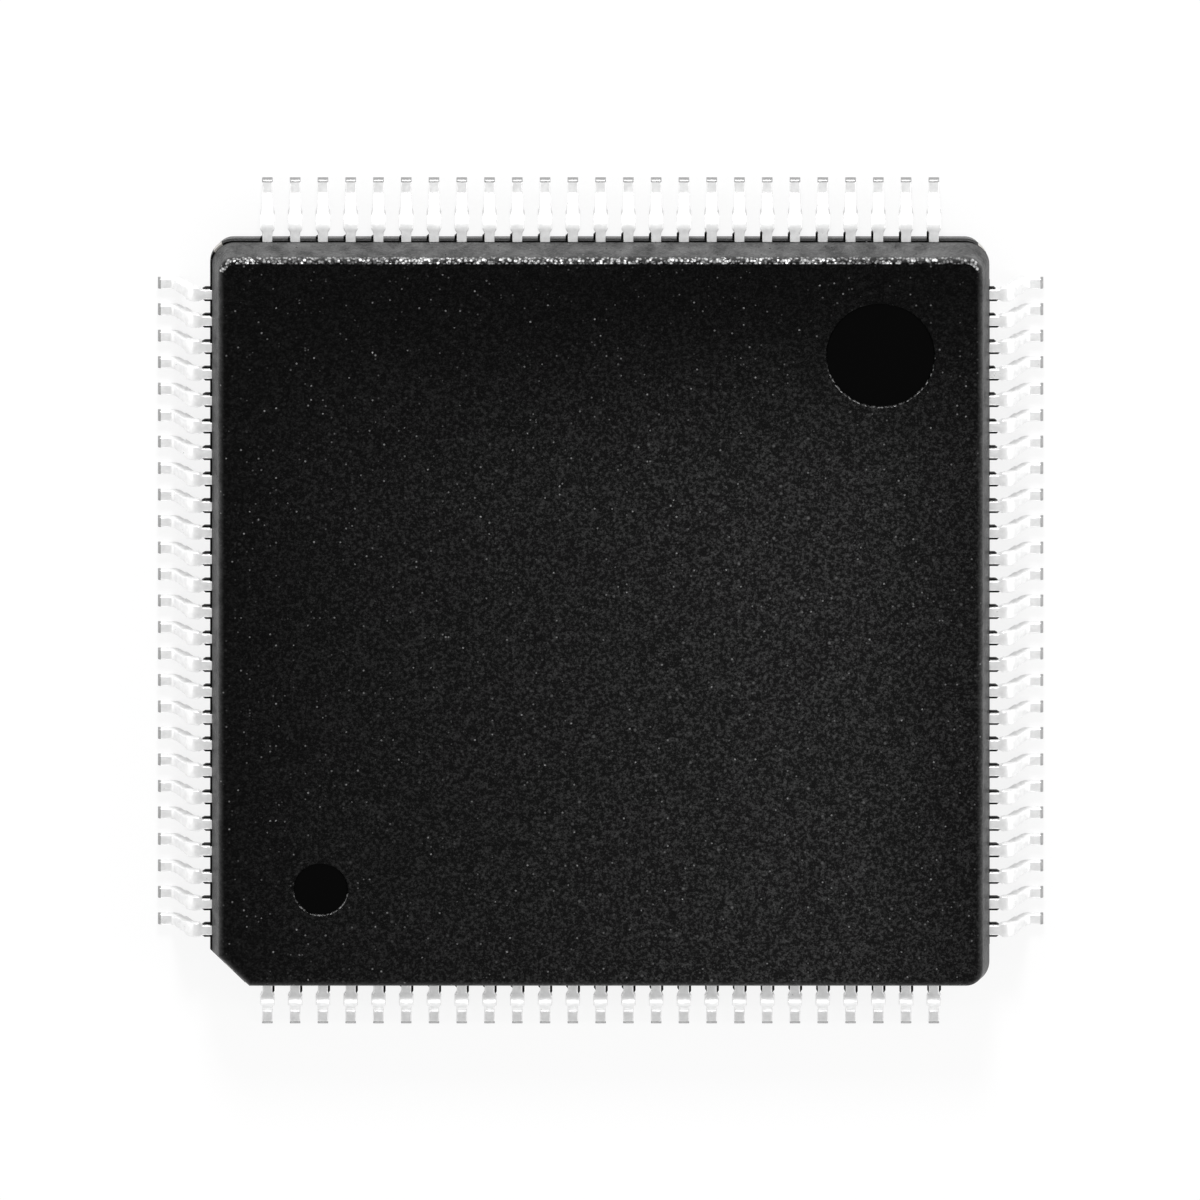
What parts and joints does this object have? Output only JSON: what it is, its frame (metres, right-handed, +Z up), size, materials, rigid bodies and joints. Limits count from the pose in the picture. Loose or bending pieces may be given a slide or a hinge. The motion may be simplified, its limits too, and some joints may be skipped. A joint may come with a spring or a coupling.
{
  "type": "quad flat pack chip",
  "caption": "Square quad flat pack chip: a low black moulded body with gull-wing leads on all four sides, and a die, paddle and bond wires inside.",
  "frame": {"origin": "under the middle of the body, on the seating plane of the feet", "axes": "+Z up, out of the top face; the chamfered corner beside pin 1 is at -X -Y, and the pins count anticlockwise from there seen from above"},
  "size_m": [0.016, 0.016, 0.0014],
  "materials": {
    "moulding": "matte black epoxy moulding with a fine spark-eroded grain, smooth in the round mould marks",
    "tin": "matte tin plating on iron-nickel alloy",
    "leadframe_alloy": "bare rolled iron-nickel alloy",
    "adhesive": "silver-filled epoxy",
    "silicon": "polished silicon",
    "gold": "drawn gold wire"
  },
  "bodies": {
    "root": {"moulded_body": "moulding", "die_paddle": "leadframe_alloy", "die_adhesive": "adhesive", "die": "silicon", "leads_001_005": "tin", "leads_006_010": "tin", "leads_011_015": "tin", "leads_016_020": "tin", "leads_021_025": "tin", "leads_026_030": "tin", "leads_031_035": "tin", "leads_036_040": "tin", "leads_041_045": "tin", "leads_046_050": "tin", "leads_051_055": "tin", "leads_056_060": "tin", "leads_061_065": "tin", "leads_066_070": "tin", "leads_071_075": "tin", "leads_076_080": "tin", "leads_081_085": "tin", "leads_086_090": "tin", "leads_091_095": "tin", "leads_096_100": "tin", "bond_wires_001_005": "gold", "bond_wires_006_010": "gold", "bond_wires_011_015": "gold", "bond_wires_016_020": "gold", "bond_wires_021_025": "gold", "bond_wires_026_030": "gold", "bond_wires_031_035": "gold", "bond_wires_036_040": "gold", "bond_wires_041_045": "gold", "bond_wires_046_050": "gold", "bond_wires_051_055": "gold", "bond_wires_056_060": "gold", "bond_wires_061_065": "gold", "bond_wires_066_070": "gold", "bond_wires_071_075": "gold", "bond_wires_076_080": "gold", "bond_wires_081_085": "gold", "bond_wires_086_090": "gold", "bond_wires_091_095": "gold", "bond_wires_096_100": "gold"}
  },
  "joints": []
}
